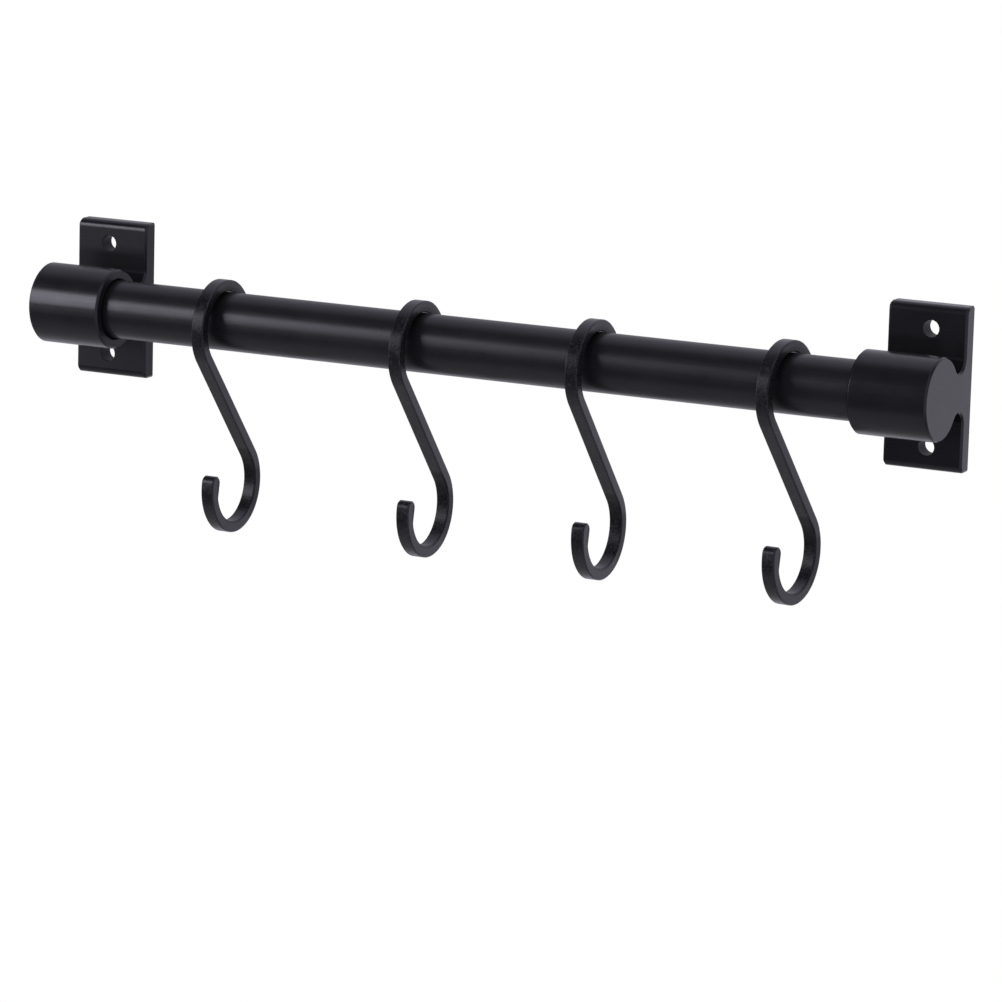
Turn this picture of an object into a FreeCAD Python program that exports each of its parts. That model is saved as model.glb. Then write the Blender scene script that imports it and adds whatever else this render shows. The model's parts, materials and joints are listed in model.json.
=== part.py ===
"""Kitchen utensil rail: two extruded wall brackets carry a round tube with sliding S hooks.

Millimetres. X runs along the rail, Y points into the wall and Z is up. The origin lies on the wall
plane, at the centre of the four wall screw holes.
"""
import FreeCAD, Part
import math
import os

# Rail
rail_length = 267.0
axis_to_wall = 20.0
tube_diameter = 16.0
tube_wall = 1.2
tube_end_gap = 0.4

# Wall brackets, cut from one extruded profile
bracket_length = 22.0
boss_wall = 2.9
plate_height = 43.4
plate_thickness = 5.0
plate_edge_radius = 2.0
neck_height = 10.6
socket_floor = 5.0
socket_clearance = 0.1
edge_break = 0.5

# Wall screw holes
hole_diameter = 4.5
hole_edge_distance = 6.2
hole_inset = 10.0

# Set screws under the bosses, which hold the tube
set_screw_diameter = 4.0
set_screw_inset = 8.0
set_screw_recess = 0.2
set_screw_clearance = 0.05
hex_across_flats = 2.0
hex_depth = 1.4

# S hooks: each hangs at a share of the free tube, turned some degrees about the vertical
hook_stations = (0.150, 0.421, 0.6555, 0.9045)
hook_turns = (0.0, 0.0, 0.0, -4.0)
hook_thickness = 3.0
hook_width = 3.7
hook_loop_room = 2.2
hook_clearance = 0.3
hook_loop_pitch = 45.0
hook_tip_angle = 109.0
hook_tip_width = 3.85
hook_tip_blend = 2.0
hook_edge_break = 0.25
hook_lean = 8.7
hook_seat_angle = 18.0

# Sizes that follow from those above
tube_radius = tube_diameter / 2
socket_radius = tube_radius + socket_clearance
boss_radius = socket_radius + boss_wall
socket_depth = bracket_length - socket_floor
half_rail = rail_length / 2
half_free_tube = half_rail - bracket_length
set_screw_place = half_free_tube + set_screw_inset

ORIGIN = FreeCAD.Vector(0, 0, 0)
X_AXIS = FreeCAD.Vector(1, 0, 0)
Y_AXIS = FreeCAD.Vector(0, 1, 0)
Z_AXIS = FreeCAD.Vector(0, 0, 1)


def in_section(toward_wall, up):
    """A point of a section across the rail, measured from the tube's axis."""
    return FreeCAD.Vector(0, toward_wall, up)


def polar(radius, degrees):
    """A point of that section on a circle about the tube's axis; 0 degrees points to the wall."""
    angle = math.radians(degrees)
    return in_section(radius * math.cos(angle), radius * math.sin(angle))


def degrees_of(point):
    return math.degrees(math.atan2(point.z, point.y))


def arc(start, middle, end):
    return Part.Arc(start, middle, end).toShape()


def line(start, end):
    return Part.LineSegment(start, end).toShape()


def bracket_profile():
    """Round boss and wall plate, joined by a neck between two full-round grooves."""
    plate_front = axis_to_wall - plate_thickness
    plate_top = plate_height / 2
    neck_top = neck_height / 2

    # Each groove touches the boss and the plate, and its floor is one side of the neck
    reach = boss_radius + plate_front - neck_top
    groove_radius = reach - math.sqrt(reach ** 2 - neck_top ** 2 + boss_radius ** 2 - plate_front ** 2)
    groove = in_section(plate_front - groove_radius, neck_top + groove_radius)
    groove_angle = degrees_of(groove)
    groove_floor = groove + polar(groove_radius, (groove_angle - 180) / 2)
    boss_touch = polar(boss_radius, groove_angle)
    boss_side = polar(boss_radius, (groove_angle + 180) / 2)
    boss_front = polar(boss_radius, 180)
    plate_touch = in_section(plate_front, groove.z)

    corner = in_section(plate_front + plate_edge_radius, plate_top - plate_edge_radius)
    corner_front = corner + polar(plate_edge_radius, 180)
    corner_middle = corner + polar(plate_edge_radius, 135)
    corner_top = corner + polar(plate_edge_radius, 90)
    back_top = in_section(axis_to_wall, plate_top)
    back_middle = in_section(axis_to_wall, 0)

    upper_half = [
        line(back_middle, back_top),
        line(back_top, corner_top),
        arc(corner_top, corner_middle, corner_front),
        line(corner_front, plate_touch),
        arc(plate_touch, groove_floor, boss_touch),
        arc(boss_touch, boss_side, boss_front),
    ]
    lower_half = [edge.mirror(ORIGIN, Z_AXIS) for edge in reversed(upper_half)]
    return Part.Face(Part.Wire(upper_half + lower_half)).removeSplitter()


def left_bracket():
    """One length of the profile with its tube socket, wall screw holes and set screw hole."""
    axis_start = FreeCAD.Vector(-half_rail, -axis_to_wall, 0)
    body = bracket_profile().extrude(X_AXIS * bracket_length)
    body.translate(axis_start)
    socket_start = axis_start + X_AXIS * socket_floor
    body = body.cut(Part.makeCylinder(socket_radius, socket_depth, socket_start, X_AXIS))

    sawn_ends = (-half_rail, -half_free_tube)
    end_edges = [edge for edge in body.Edges if lies_in_planes(edge, sawn_ends)]
    body = body.makeChamfer(edge_break, end_edges)

    hole_height = plate_height / 2 - hole_edge_distance
    for height in (-hole_height, hole_height):
        front = FreeCAD.Vector(-half_rail + hole_inset, -plate_thickness, height)
        body = body.cut(Part.makeCylinder(hole_diameter / 2, plate_thickness, front, Y_AXIS))

    below = FreeCAD.Vector(-set_screw_place, -axis_to_wall, -boss_radius)
    screw_hole_radius = set_screw_diameter / 2 + set_screw_clearance
    return body.cut(Part.makeCylinder(screw_hole_radius, boss_radius, below, Z_AXIS))


def lies_in_planes(edge, places):
    """True for an edge that lies across the rail at one of these places."""
    box = edge.BoundBox
    return box.XLength < 1e-6 and any(abs(box.XMin - place) < 1e-6 for place in places)


def rail_tube():
    """Round tube that reaches into both sockets."""
    length = rail_length - 2 * (socket_floor + tube_end_gap)
    start = FreeCAD.Vector(-length / 2, -axis_to_wall, 0)
    outside = Part.makeCylinder(tube_radius, length, start, X_AXIS)
    inside = Part.makeCylinder(tube_radius - tube_wall, length, start, X_AXIS)
    return outside.cut(inside)


def left_set_screw():
    """Headless screw with a hexagon socket, turned up against the tube from below."""
    bottom = FreeCAD.Vector(-set_screw_place, -axis_to_wall, -boss_radius + set_screw_recess)
    length = boss_radius - set_screw_recess - tube_radius - set_screw_clearance
    screw = Part.makeCylinder(set_screw_diameter / 2, length, bottom, Z_AXIS)
    corners = []
    for index in range(7):
        angle = math.radians(60 * index)
        corner = FreeCAD.Vector(math.cos(angle), math.sin(angle), 0)
        corners.append(bottom + corner * (hex_across_flats / math.sqrt(3)))
    hexagon = Part.Face(Part.makePolygon(corners))
    return screw.cut(hexagon.extrude(Z_AXIS * hex_depth))


def hook_half_outline(bend_radius, shank_angle):
    """One loop with its tip and one side of the shank, about the loop's centre."""
    outer = bend_radius + hook_thickness / 2
    inner = bend_radius - hook_thickness / 2
    tip_radius = hook_tip_width / 2
    tip_angle = 90 - hook_tip_angle
    shank_side = 180 + shank_angle
    outward = polar(1, tip_angle)
    onward = polar(1, tip_angle - 90)

    # The tip is wider than the strip on its inner side, and a blend leads into it
    pad = outer - hook_tip_width
    blend_out = pad - hook_tip_blend
    blend_on = -math.sqrt((inner - hook_tip_blend) ** 2 - blend_out ** 2)
    blend = outward * blend_out + onward * blend_on
    blend_angle = degrees_of(blend)
    blend_middle = blend + polar(hook_tip_blend, (blend_angle + tip_angle) / 2)
    pad_start = outward * pad
    pad_end = pad_start + onward * blend_on
    tip_end = outward * (outer - tip_radius) + onward * tip_radius

    next_loop = in_section(0, -hook_loop_pitch)
    outer_middle = polar(outer, (shank_side + tip_angle) / 2)
    inner_middle = polar(inner, (shank_side + blend_angle) / 2)
    return [
        arc(polar(outer, shank_side), outer_middle, polar(outer, tip_angle)),
        arc(polar(outer, tip_angle), tip_end, pad_start),
        line(pad_start, pad_end),
        arc(pad_end, blend_middle, polar(inner, blend_angle)),
        arc(polar(inner, blend_angle), inner_middle, polar(inner, shank_side)),
        line(polar(inner, shank_side), next_loop - polar(outer, shank_side)),
    ]


def s_hook(station, turn):
    """Flat S, the same both ways up, which leans back under the tube."""
    bend_radius = tube_radius + hook_loop_room + hook_thickness / 2
    shank_angle = math.degrees(math.asin(2 * bend_radius / hook_loop_pitch))
    first_half = hook_half_outline(bend_radius, shank_angle)
    middle = in_section(0, -hook_loop_pitch / 2)
    second_half = [edge.rotated(middle, X_AXIS, 180) for edge in first_half]
    hook = Part.Face(Part.Wire(first_half + second_half)).extrude(X_AXIS * hook_width)
    long_edges = [edge for edge in hook.Edges if lies_in_planes(edge, (0, hook_width))]
    hook = hook.makeChamfer(hook_edge_break, long_edges)

    # The upper loop's inside seats on the tube a little behind its top
    hook.translate(X_AXIS * (-hook_width / 2))
    hook.rotate(ORIGIN, X_AXIS, hook_lean)
    hook.translate(polar(hook_loop_room - hook_clearance, 270 - hook_seat_angle))
    hook.rotate(ORIGIN, Z_AXIS, turn)
    hook.translate(FreeCAD.Vector((2 * station - 1) * half_free_tube, -axis_to_wall, 0))
    return hook


def to_right_end(shape):
    """The same piece at the other end of the rail."""
    return shape.mirror(ORIGIN, X_AXIS)


def all_pieces():
    pieces = {
        "rail_tube": rail_tube(),
        "bracket_left": left_bracket(),
        "bracket_right": to_right_end(left_bracket()),
        "set_screw_left": left_set_screw(),
        "set_screw_right": to_right_end(left_set_screw()),
    }
    for index, (station, turn) in enumerate(zip(hook_stations, hook_turns)):
        pieces["hook_%d" % (index + 1)] = s_hook(station, turn)
    return pieces


os.makedirs("parts", exist_ok=True)
for name, shape in all_pieces().items():
    shape.exportStep("parts/%s.step" % name)
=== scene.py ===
"""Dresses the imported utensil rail: finishes for its metal parts, studio light, floor and camera."""
import json
import math

import bpy
from mathutils import Matrix, Vector

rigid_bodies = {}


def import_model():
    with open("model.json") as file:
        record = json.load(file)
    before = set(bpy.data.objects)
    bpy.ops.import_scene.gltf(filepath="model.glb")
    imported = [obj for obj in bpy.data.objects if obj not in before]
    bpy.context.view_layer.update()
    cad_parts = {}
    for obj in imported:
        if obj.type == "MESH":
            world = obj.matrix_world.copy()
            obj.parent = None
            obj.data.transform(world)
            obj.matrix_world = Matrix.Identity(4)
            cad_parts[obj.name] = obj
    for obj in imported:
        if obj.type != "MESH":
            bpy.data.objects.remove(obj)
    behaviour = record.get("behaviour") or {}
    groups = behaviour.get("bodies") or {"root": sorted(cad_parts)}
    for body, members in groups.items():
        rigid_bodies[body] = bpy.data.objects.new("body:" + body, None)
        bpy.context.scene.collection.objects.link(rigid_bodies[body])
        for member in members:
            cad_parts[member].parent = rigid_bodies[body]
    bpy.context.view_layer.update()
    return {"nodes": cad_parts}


for leftover in list(bpy.data.objects):
    bpy.data.objects.remove(leftover)

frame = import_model()
nodes = frame["nodes"]

# Ends of a mask that rises or falls, and plain white
RISE = (0.0, 1.0)
FALL = (1.0, 0.0)
WHITE = (1.0, 1.0, 1.0, 1.0)

# Driving sizes of the part, in metres and radians
rail_length = 0.267
bracket_length = 0.022
boss_radius = 0.011
axis_to_wall = 0.020
hole_radius = 0.00225
hole_inset = 0.010
hole_pitch = 0.031
screw_inset = 0.008
hook_count = 4
loop_radius = 0.0102
loop_pitch = 0.045
loop_drop = 0.0019
seat_angle = math.radians(18.0)
lean_angle = math.radians(8.7)

# Places that follow from them
axis_y = -axis_to_wall
rail_centre = Vector((0.0, axis_y, 0.0))
hole_x = rail_length / 2 - hole_inset
hole_z = hole_pitch / 2
inner_face_x = rail_length / 2 - bracket_length
screw_x = inner_face_x + screw_inset
high_loop_y = axis_y - loop_drop * math.sin(seat_angle)
high_loop_z = -loop_drop * math.cos(seat_angle)
low_loop_y = high_loop_y + loop_pitch * math.sin(lean_angle)
low_loop_z = high_loop_z - loop_pitch * math.cos(lean_angle)

# Ranges that bound the brackets' zones of painted shade, in metres
groove_front = -0.0125
hole_wall = (hole_radius + 0.0001, hole_radius + 0.0002)
groove_height = (0.0079, 0.0089)
groove_front_y = (groove_front, groove_front + 0.0005)
groove_back_y = (-0.0045, -0.0040)
boss_back_y = (groove_front + 0.003, groove_front + 0.004)
shade_height = (boss_radius + 0.001, boss_radius + 0.005)
shade_across = (0.0010, 0.0085)
left_to_right_x = (-0.05, 0.05)
low_to_high_z = (-0.005, 0.005)
inner_end_x = (inner_face_x + 0.0003, inner_face_x + 0.0006)
right_rim_x = (inner_face_x + 0.0006, inner_face_x + 0.0008)

# How deep the painted shade in those zones is, and how much of it the plates' outer ends and lower
# left half keep
hole_shade_depth = 0.6
plate_shade_depth = 0.8
inner_end_shade_depth = 0.35
right_rim_shade_depth = 0.9
shade_outer_right = 0.15
shade_outer_left = 0.70
shade_low_left = 0.15
bracket_shade_roughness = 0.35
bracket_shade_specular = 0.02

# Ranges that bound the hooks' zones of painted shade, in metres
top_shade_z = (-0.002, 0.008)
top_shade_reach = (loop_radius + 0.0006, loop_radius + 0.0022)
back_shade_y = (low_loop_y + 0.005, low_loop_y + 0.009)
back_shade_z = (low_loop_z + 0.002, low_loop_z + 0.005)
front_shade_z = (-0.014, 0.002)
front_fade_z = (0.004, 0.010)
tip_shade_z = (-0.054, -0.047)
tip_top_z = (-0.036, -0.033)
tip_y = (low_loop_y - 0.007, low_loop_y - 0.004)
inside_reach = (loop_radius + 0.0003, loop_radius + 0.0007)

# How deep the painted shade in those zones is, and how much of it their far ends keep
front_shade = 0.92
tip_shade = 0.45
inside_shade = 0.88
top_outer_share = 0.2
front_top_share = 0.5
inside_floor_share = 0.15
hook_shade_specular = 0.18

# Ranges of a face normal's x, y or z, where x counts either way
groove_facing = (0.3, 0.6)
boss_back_facing = (0.10, 0.20)
plate_front_facing = (-0.95, -0.90)
inner_end_facing = (0.85, 0.95)
right_rim_facing = (0.30, 0.50)
flat_side_facing = (0.80, 0.95)
hook_front_facing = (-0.75, -0.45)
loop_floor_facing = (0.35, 0.75)

# All finishes: a noise lies mostly in its middle, and at edges bevelled and true normals differ
noise_middle = (0.3, 0.7)
edge_likeness = (0.86, 0.985)
bevel_samples = 6
fine_relief = 0.00002
grain_relief = 0.00006

# Both coatings: their gloss has a faint violet cast
plain_specular = 0.5
coat_tint = (0.88, 0.86, 1.0, 1.0)

# Satin coating of brackets and tube
satin_dark = (0.0045, 0.0044, 0.0057)
satin_light = (0.0080, 0.0078, 0.0098)
satin_worn = (0.032, 0.0315, 0.035, 1.0)
satin_mottle = (0.30, 0.75)
satin_scuff = (0.35, 0.65)
satin_scuff_shares = (0.25, 1.0)
satin_edge = 0.00025
satin_ior = 1.5
bracket_roughness = 0.24
tube_roughness = 0.31
line_roughness = 0.03
patch_roughness = 0.02
worn_roughness = 0.08
draw_lines = (25.0, 2600.0, 2600.0)

# Powder coating of the hooks
powder_dark = (0.0013, 0.0012, 0.0018)
powder_light = (0.0180, 0.0176, 0.0200)
powder_worn = (0.024, 0.0235, 0.026, 1.0)
powder_tone = (0.17, 0.75)
powder_scuff = (0.40, 0.70)
powder_scuff_shares = (0.1, 1.0)
powder_edge = 0.0004
powder_ior = 1.62
powder_roughness = (0.22, 0.37)
cloud_share = 0.5
speck_grain = (0.50, 0.72)
speck_shares = (0.0, 0.55)

# Blackened steel of the set screws
oxide_cool = (0.030, 0.031, 0.036)
oxide_warm = (0.060, 0.056, 0.054)
oxide_roughness = (0.34, 0.46)
oxide_metallic = 0.9

# Camera, as the rail is seen from the right and a little above
camera_azimuth = math.radians(26.841)
camera_elevation = math.radians(11.068)
camera_roll = math.radians(1.556)
camera_distance = 1.385704
camera_target = Vector((0.008482, axis_y, -0.040291))
camera_lens = 186.73
camera_clip = (0.05, 20.0)
sensor_width = 36.0

# White studio wall behind the rail, by ranges of the direction's x, y or z
wall_color = (0.985, 0.965, 1.10, 1.0)
wall_level = 0.645
wall_right_share = 0.35
wall_levels = (wall_level, wall_level * wall_right_share)
wall_y = (-0.18, 0.25)
wall_right_x = (0.52, 0.62)
wall_left_x = (-0.75, -0.35)
wall_left_share = 0.25
wall_low_z = (-0.55, -0.30)
wall_low_x = (-0.50, -0.37)
wall_low_shares = (1.45, 1.10)
wall_foot_z = (-0.92, -0.66)

# Dim room in front of it, with a paler right, a pale strip far left and a faint glow from below
room_level = 0.12
room_right_x = (-0.30, 0.30)
room_right_level = 0.58
room_left_x = (-0.97, -0.80)
room_left_level = 0.50
room_foot_z = (-0.75, -0.35)
glow_level = 0.09
glow_x = (-0.47, -0.41)
glow_starts_z = (-0.78, -0.60)
glow_ends_z = (-0.50, -0.32)
fill_level = 0.66

# Soft boxes that face the rail: name, place, width and height, radiance
soft_boxes = (
    ("key_soft_box", (-0.865, -0.79, 0.36), (0.63, 0.62), 4.9),
    ("low_soft_box", (-0.93, -0.87, -0.16), (0.55, 0.40), 0.6),
)

# Floor below the rail
floor_height = -0.42
floor_radius = 0.75
floor_fade = (0.45 * floor_radius, 0.98 * floor_radius)
floor_steps = 128
floor_color = (0.80, 0.80, 0.797, 1.0)
floor_opacity = 0.43


class Graph:
    """Short calls for the nodes of one material or world."""

    def __init__(self, owner):
        owner.use_nodes = True
        self.tree = owner.node_tree
        self.tree.nodes.clear()

    def feed(self, socket, value):
        """Links a socket to another node's output, or sets its own value."""
        if isinstance(value, bpy.types.NodeSocket):
            self.tree.links.new(value, socket)
        else:
            socket.default_value = value

    def add(self, kind, settings=None, **sockets):
        """A new node; an underscore stands for the space in a socket's name."""
        node = self.tree.nodes.new("ShaderNode" + kind)
        for name, value in (settings or {}).items():
            setattr(node, name, value)
        for name, value in sockets.items():
            self.feed(node.inputs[name.replace("_", " ")], value)
        return node

    def in_order(self, node, values):
        """Fills a node's inputs from the first one on."""
        for socket, value in zip(node.inputs, values):
            self.feed(socket, value)
        return node

    def math(self, operation, *values):
        node = self.add("Math", {"operation": operation})
        return self.in_order(node, values).outputs["Value"]

    def vector_math(self, operation, output, *values):
        node = self.add("VectorMath", {"operation": operation})
        return self.in_order(node, values).outputs[output]

    def chain(self, operation, values):
        result = values[0]
        for value in values[1:]:
            result = self.math(operation, result, value)
        return result

    def product(self, *values):
        return self.chain("MULTIPLY", values)

    def total(self, *values):
        return self.chain("ADD", values)

    def largest(self, *values):
        return self.chain("MAXIMUM", values)

    def absolute(self, value):
        return self.math("ABSOLUTE", value)

    def remap(self, value, source, target=RISE, course="LINEAR"):
        """Carries one range to another and stops at its ends."""
        node = self.add("MapRange", {"interpolation_type": course}, Value=value,
                        From_Min=source[0], From_Max=source[1],
                        To_Min=target[0], To_Max=target[1])
        return node.outputs["Result"]

    def ease(self, value, source, target=RISE):
        """The same with a soft start and end."""
        return self.remap(value, source, target, "SMOOTHSTEP")

    def pick(self, mask, first, second):
        """The first value where a mask is nought, the second where it is one."""
        return self.remap(mask, RISE, (first, second))

    def noise(self, where, scale, detail, roughness):
        node = self.add("TexNoise", Vector=where, Scale=scale, Detail=detail, Roughness=roughness)
        return node.outputs["Fac"]

    def stretched(self, where, factors):
        return self.add("Mapping", Vector=where, Scale=factors).outputs["Vector"]

    def ramp(self, value, source, first, second):
        """A colour that runs from the first to the second over a range."""
        node = self.add("ValToRGB", Fac=value)
        for point, place, color in zip(node.color_ramp.elements, source, (first, second)):
            point.position = place
            point.color = (*color, 1.0)
        return node.outputs["Color"]

    def blend(self, share, first, second):
        """Two colours, the second by its share."""
        node = self.add("Mix", {"data_type": "RGBA"})
        self.feed(node.inputs[0], share)
        colors = [socket for socket in node.inputs if socket.type == "RGBA"]
        for socket, value in zip(colors, (first, second)):
            self.feed(socket, value)
        return [socket for socket in node.outputs if socket.type == "RGBA"][0]

    def bump(self, height, strength, distance, below=None):
        node = self.add("Bump", Height=height, Strength=strength, Distance=distance)
        if below is not None:
            self.feed(node.inputs["Normal"], below)
        return node.outputs["Normal"]

    def place(self):
        return self.add("TexCoord").outputs["Object"]

    def facing(self):
        return self.add("NewGeometry").outputs["True Normal"]

    def split(self, vector):
        node = self.add("SeparateXYZ", Vector=vector)
        return [node.outputs[axis] for axis in "XYZ"]

    def reach(self, first, second, centre=(0.0, 0.0)):
        """Distance from a centre in the plane of two coordinates."""
        off_centre = self.add("CombineXYZ", X=self.math("SUBTRACT", first, centre[0]),
                              Y=self.math("SUBTRACT", second, centre[1]))
        return self.vector_math("LENGTH", "Value", off_centre.outputs["Vector"])

    def rounded(self, radius):
        """Normals that run smoothly round the edges."""
        return self.add("Bevel", {"samples": bevel_samples}, Radius=radius).outputs["Normal"]

    def edges(self, rounded):
        """One on the edges and nought on the faces between them."""
        likeness = self.vector_math("DOT_PRODUCT", "Value", rounded, self.facing())
        return self.ease(likeness, edge_likeness, FALL)

    def mixed(self, share, first, second):
        """Two shaders, the second by its share."""
        return self.in_order(self.add("MixShader"), (share, first, second)).outputs["Shader"]

    def surface(self, shader, owner="Material"):
        self.add("Output" + owner, Surface=shader)


def bracket_painted_shade(graph, where):
    """Painted shade on a bracket, as lower gloss: hole walls, grooves, boss back and ends, plate by
    the boss.
    """
    x, y, z = graph.split(where)
    face_x, face_y, _ = graph.split(graph.facing())
    along = graph.absolute(x)
    height = graph.absolute(z)
    sideways = graph.absolute(face_x)
    from_hole = graph.reach(along, height, (hole_x, hole_z))
    past_boss = graph.remap(y, groove_front_y)

    hole = graph.remap(from_hole, hole_wall, (hole_shade_depth, 0.0))
    groove = graph.product(graph.remap(height, groove_height, FALL), past_boss,
                           graph.remap(sideways, groove_facing, FALL),
                           graph.remap(y, groove_back_y, FALL))
    boss_back = graph.product(graph.remap(face_y, boss_back_facing),
                              graph.remap(y, boss_back_y, FALL))

    # Painted shade and reflection of the boss: the plates' fronts lose gloss towards the boss, least
    # at the right end and low on the left
    on_left = graph.remap(x, left_to_right_x, FALL)
    low_left = graph.product(on_left, graph.remap(z, low_to_high_z, FALL))
    outer_share = graph.pick(on_left, shade_outer_right, shade_outer_left)
    across = graph.math("SUBTRACT", along, hole_x)
    shaded = graph.product(graph.ease(height, shade_height, (plate_shade_depth, 0.0)),
                           graph.ease(across, shade_across, (1.0, outer_share)),
                           graph.pick(low_left, 1.0, shade_low_left),
                           graph.remap(face_y, plate_front_facing, FALL), past_boss)

    inner_end = graph.product(graph.remap(sideways, inner_end_facing, (0.0, inner_end_shade_depth)),
                              graph.remap(along, inner_end_x, FALL))
    right_rim = graph.product(graph.remap(sideways, right_rim_facing, (0.0, right_rim_shade_depth)),
                              graph.remap(x, right_rim_x, FALL),
                              graph.remap(x, (0.0, inner_face_x)))
    return graph.largest(hole, groove, boss_back, shaded, inner_end, right_rim)


def hook_painted_shade(graph, where):
    """Painted shade on a hook's loops, as lower gloss: dimmed highlights on the fronts and tips,
    darker sides near the tube and at the lower loop's back, a darker lower loop inside.
    """
    _, y, z = graph.split(where)
    face_x, face_y, face_z = graph.split(graph.facing())
    from_high_loop = graph.reach(y, z, (high_loop_y, high_loop_z))
    from_low_loop = graph.reach(y, z, (low_loop_y, low_loop_z))

    top = graph.product(graph.ease(z, top_shade_z),
                        graph.ease(from_high_loop, top_shade_reach, (1.0, top_outer_share)))
    back = graph.product(graph.ease(y, back_shade_y), graph.ease(z, back_shade_z, FALL))
    sides = graph.product(graph.remap(graph.absolute(face_x), flat_side_facing),
                          graph.largest(top, back))

    front = graph.product(graph.ease(z, front_shade_z, (0.0, front_shade)),
                          graph.ease(z, front_fade_z, (1.0, front_top_share)))
    tip = graph.product(graph.ease(z, tip_shade_z, (0.0, tip_shade)),
                        graph.remap(z, tip_top_z, FALL), graph.remap(y, tip_y, FALL))
    fronts = graph.product(graph.remap(face_y, hook_front_facing, FALL),
                           graph.largest(front, tip))

    inside = graph.product(graph.remap(from_low_loop, inside_reach, (inside_shade, 0.0)),
                           graph.ease(face_z, loop_floor_facing, (1.0, inside_floor_share)))
    return graph.largest(sides, fronts, inside)


def satin_coat(name, roughness, shade_where=None):
    """Black coating on aluminium: fine draw lines along the rail, faint mottling, paler edges."""
    material = bpy.data.materials.new(name)
    graph = Graph(material)
    where = graph.place()
    soft = graph.rounded(satin_edge)
    mottle = graph.noise(where, scale=90.0, detail=4.0, roughness=0.6)
    scuff = graph.noise(where, scale=650.0, detail=3.0, roughness=0.6)
    lines = graph.noise(graph.stretched(where, draw_lines), scale=1.0, detail=3.0, roughness=0.55)
    patch = graph.noise(where, scale=220.0, detail=3.0, roughness=0.5)
    peel = graph.noise(where, scale=2600.0, detail=2.0, roughness=0.5)

    wear = graph.product(graph.edges(soft), graph.remap(scuff, satin_scuff, satin_scuff_shares))
    color = graph.blend(wear, graph.ramp(mottle, satin_mottle, satin_dark, satin_light),
                        satin_worn)
    drawn_roughness = (roughness - line_roughness, roughness + line_roughness)
    rough = graph.total(graph.remap(lines, noise_middle, drawn_roughness),
                        graph.remap(patch, noise_middle, (-patch_roughness, patch_roughness)),
                        graph.product(wear, worn_roughness))
    peeled = graph.bump(peel, strength=0.10, distance=fine_relief, below=soft)
    drawn = graph.bump(lines, strength=0.04, distance=fine_relief, below=peeled)

    shader = graph.add("BsdfPrincipled", Base_Color=color, IOR=satin_ior,
                       Specular_Tint=coat_tint, Normal=drawn)
    # Painted shade: where the mask is on, gloss drops and roughness rises, so these zones render
    # darker
    if shade_where is not None:
        painted_shade = shade_where(graph, where)
        rough = graph.total(rough, graph.product(painted_shade, bracket_shade_roughness))
        graph.feed(shader.inputs["Specular IOR Level"],
                   graph.pick(painted_shade, plain_specular, bracket_shade_specular))
    graph.feed(shader.inputs["Roughness"], rough)
    graph.surface(shader.outputs["BSDF"])
    return material


def powder_coat(name):
    """Matt black powder coating: fine grains with paler specks, scuffed edges, and painted shade on
    the loops as lower gloss.
    """
    material = bpy.data.materials.new(name)
    graph = Graph(material)
    where = graph.place()
    soft = graph.rounded(powder_edge)
    grain = graph.noise(where, scale=1500.0, detail=3.0, roughness=0.65)
    cloud = graph.noise(where, scale=150.0, detail=3.0, roughness=0.5)
    scuff = graph.noise(where, scale=420.0, detail=3.0, roughness=0.6)

    wear = graph.product(graph.edges(soft), graph.remap(scuff, powder_scuff, powder_scuff_shares))
    tone = graph.total(graph.product(cloud, cloud_share),
                       graph.remap(grain, speck_grain, speck_shares))
    color = graph.blend(wear, graph.ramp(tone, powder_tone, powder_dark, powder_light),
                        powder_worn)
    rough = graph.remap(grain, noise_middle, powder_roughness)
    grained = graph.bump(grain, strength=0.24, distance=grain_relief, below=soft)
    # Painted shade: gloss is lowered where the loops' highlights are dimmed and their sides shaded
    specular = graph.pick(hook_painted_shade(graph, where), plain_specular, hook_shade_specular)

    shader = graph.add("BsdfPrincipled", Base_Color=color, Roughness=rough, IOR=powder_ior,
                       Specular_IOR_Level=specular, Specular_Tint=coat_tint, Normal=grained)
    graph.surface(shader.outputs["BSDF"])
    return material


def oxide_steel(name, centre_x):
    """Blackened steel of a set screw, with turning marks about its own axis."""
    material = bpy.data.materials.new(name)
    graph = Graph(material)
    where = graph.place()
    centred = graph.vector_math("SUBTRACT", "Vector", where, (centre_x, axis_y, 0.0))
    rings = graph.add("TexWave", {"wave_type": "RINGS", "rings_direction": "Z"}, Vector=centred,
                      Scale=900.0, Distortion=1.5, Detail=2.0).outputs["Fac"]
    tint = graph.noise(where, scale=700.0, detail=3.0, roughness=0.6)
    color = graph.ramp(tint, noise_middle, oxide_cool, oxide_warm)
    rough = graph.pick(rings, *oxide_roughness)
    turned = graph.bump(rings, strength=0.15, distance=fine_relief)

    shader = graph.add("BsdfPrincipled", Base_Color=color, Roughness=rough,
                       Metallic=oxide_metallic, Normal=turned)
    graph.surface(shader.outputs["BSDF"])
    return material


def dress(node, material):
    for slot in nodes[node].material_slots:
        slot.material = material


def dress_rail():
    """Gives every CAD node its finish."""
    bracket_coat = satin_coat("bracket_coat", bracket_roughness, bracket_painted_shade)
    tube_coat = satin_coat("tube_coat", tube_roughness)
    hook_coat = powder_coat("hook_coat")
    for side, sign in (("left", -1.0), ("right", 1.0)):
        dress("bracket_" + side, bracket_coat)
        dress("set_screw_" + side, oxide_steel("set_screw_" + side, sign * screw_x))
    dress("rail_tube", tube_coat)
    for number in range(1, hook_count + 1):
        dress(f"hook_{number}", hook_coat)


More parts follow.
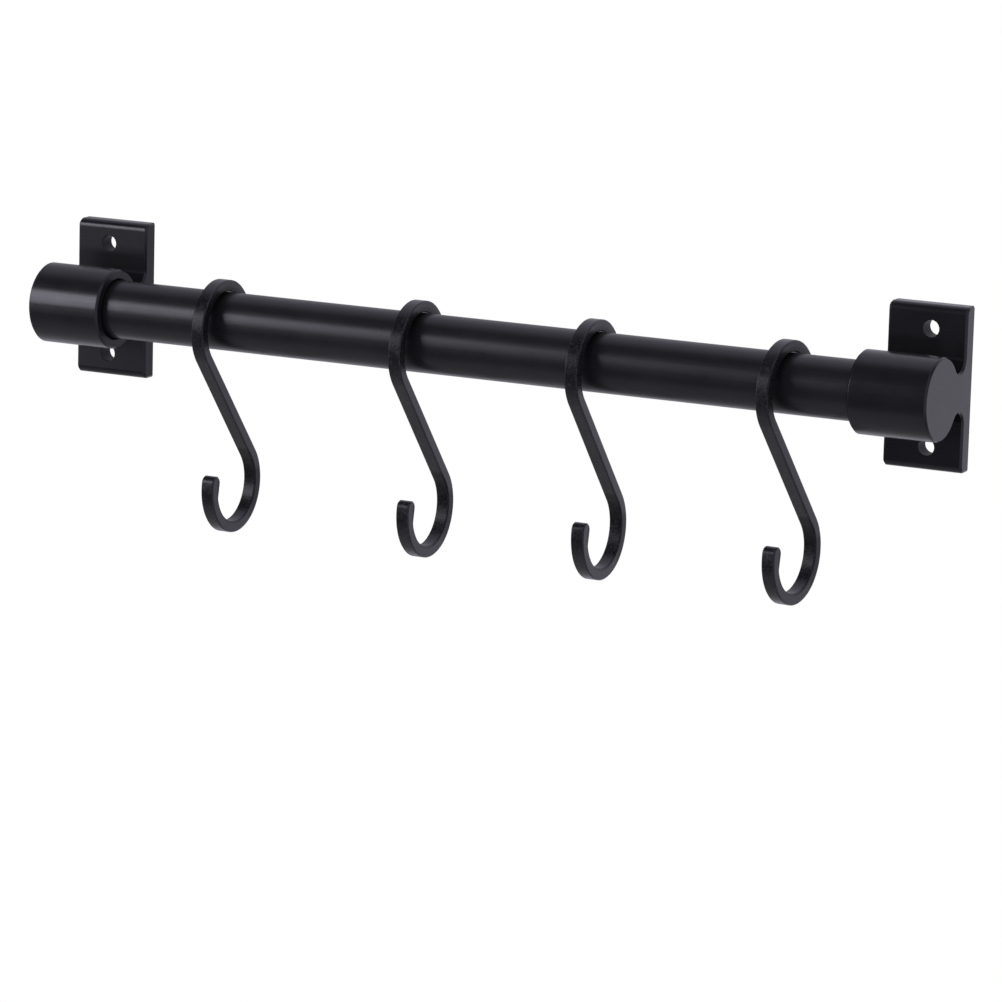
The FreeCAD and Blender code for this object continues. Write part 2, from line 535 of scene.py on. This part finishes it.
def studio_world():
    """White wall behind the rail, dim room in front, even fill for diffuse light."""
    world = bpy.data.worlds.new("studio")
    bpy.context.scene.world = world
    graph = Graph(world)
    x, y, z = graph.split(graph.add("TexCoord").outputs["Generated"])

    low_share = graph.remap(x, wall_low_x, wall_low_shares)
    wall = graph.product(graph.ease(x, wall_right_x, wall_levels),
                         graph.ease(x, wall_left_x, (wall_left_share, 1.0)),
                         graph.ease(z, wall_low_z, (low_share, 1.0)))
    wall = graph.pick(graph.ease(z, wall_foot_z), room_level, wall)

    room = graph.total(graph.ease(x, room_right_x, (room_level, room_right_level)),
                       graph.ease(x, room_left_x, (room_left_level, 0.0)))
    room = graph.pick(graph.ease(z, room_foot_z), room_level, room)
    glow = graph.product(graph.ease(x, glow_x, (glow_level, 0.0)),
                         graph.ease(z, glow_starts_z), graph.ease(z, glow_ends_z, FALL))
    room = graph.total(room, glow)

    # Gloss sees wall and room, the camera sees plain white, and diffuse light is even
    mirrored = graph.pick(graph.ease(y, wall_y), room, wall)
    path = graph.add("LightPath").outputs
    seen = graph.largest(path["Is Camera Ray"], path["Is Transmission Ray"])
    plain = graph.add("Background", Color=WHITE, Strength=graph.pick(seen, fill_level, 1.0))
    in_gloss = graph.add("Background", Color=wall_color, Strength=mirrored)
    shader = graph.mixed(path["Is Glossy Ray"], plain.outputs["Background"],
                         in_gloss.outputs["Background"])
    graph.surface(shader, "World")


def soft_box(name, place, size, radiance):
    """A rectangular soft light that faces the rail."""
    light = bpy.data.lights.new(name, "AREA")
    light.shape = "RECTANGLE"
    light.size, light.size_y = size
    light.energy = radiance * math.pi * size[0] * size[1]
    lamp = bpy.data.objects.new(name, light)
    bpy.context.scene.collection.objects.link(lamp)
    lamp.location = place
    lamp.rotation_mode = "QUATERNION"
    lamp.rotation_quaternion = (rail_centre - Vector(place)).to_track_quat("-Z", "Y")


def pale_floor():
    """A round pale floor that fades out towards its rim and isn't seen from below."""
    rim = []
    for step in range(floor_steps):
        angle = 2 * math.pi * step / floor_steps
        rim.append((floor_radius * math.cos(angle), floor_radius * math.sin(angle), floor_height))
    mesh = bpy.data.meshes.new("floor")
    mesh.from_pydata(rim, [], [tuple(range(floor_steps))])
    floor = bpy.data.objects.new("floor", mesh)
    bpy.context.scene.collection.objects.link(floor)

    material = bpy.data.materials.new("floor")
    graph = Graph(material)
    x, y, _ = graph.split(graph.place())
    gone = graph.ease(graph.reach(x, y), floor_fade, (1.0 - floor_opacity, 1.0))
    from_below = graph.add("NewGeometry").outputs["Backfacing"]
    matt = graph.add("BsdfDiffuse", Color=floor_color)
    open_air = graph.add("BsdfTransparent", Color=WHITE)
    graph.surface(graph.mixed(graph.largest(gone, from_below), matt.outputs["BSDF"],
                              open_air.outputs["BSDF"]))
    mesh.materials.append(material)


def photo_camera():
    """The camera at the viewing angle of the photograph."""
    sin_a, cos_a = math.sin(camera_azimuth), math.cos(camera_azimuth)
    sin_e, cos_e = math.sin(camera_elevation), math.cos(camera_elevation)
    back = Vector((sin_a * cos_e, -cos_a * cos_e, sin_e))
    level = Vector((cos_a, sin_a, 0.0))
    upright = back.cross(level)
    right = math.cos(camera_roll) * level + math.sin(camera_roll) * upright
    up = math.cos(camera_roll) * upright - math.sin(camera_roll) * level
    data = bpy.data.cameras.new("camera")
    data.sensor_width = sensor_width
    data.lens = camera_lens
    data.clip_start, data.clip_end = camera_clip
    camera = bpy.data.objects.new("camera", data)
    bpy.context.scene.collection.objects.link(camera)
    turn = Matrix((right, up, back)).transposed().to_4x4()
    camera.matrix_world = Matrix.Translation(camera_target + camera_distance * back) @ turn
    bpy.context.scene.camera = camera


dress_rail()
studio_world()
for box in soft_boxes:
    soft_box(*box)
pale_floor()
photo_camera()
bpy.context.scene.view_settings.view_transform = "Standard"
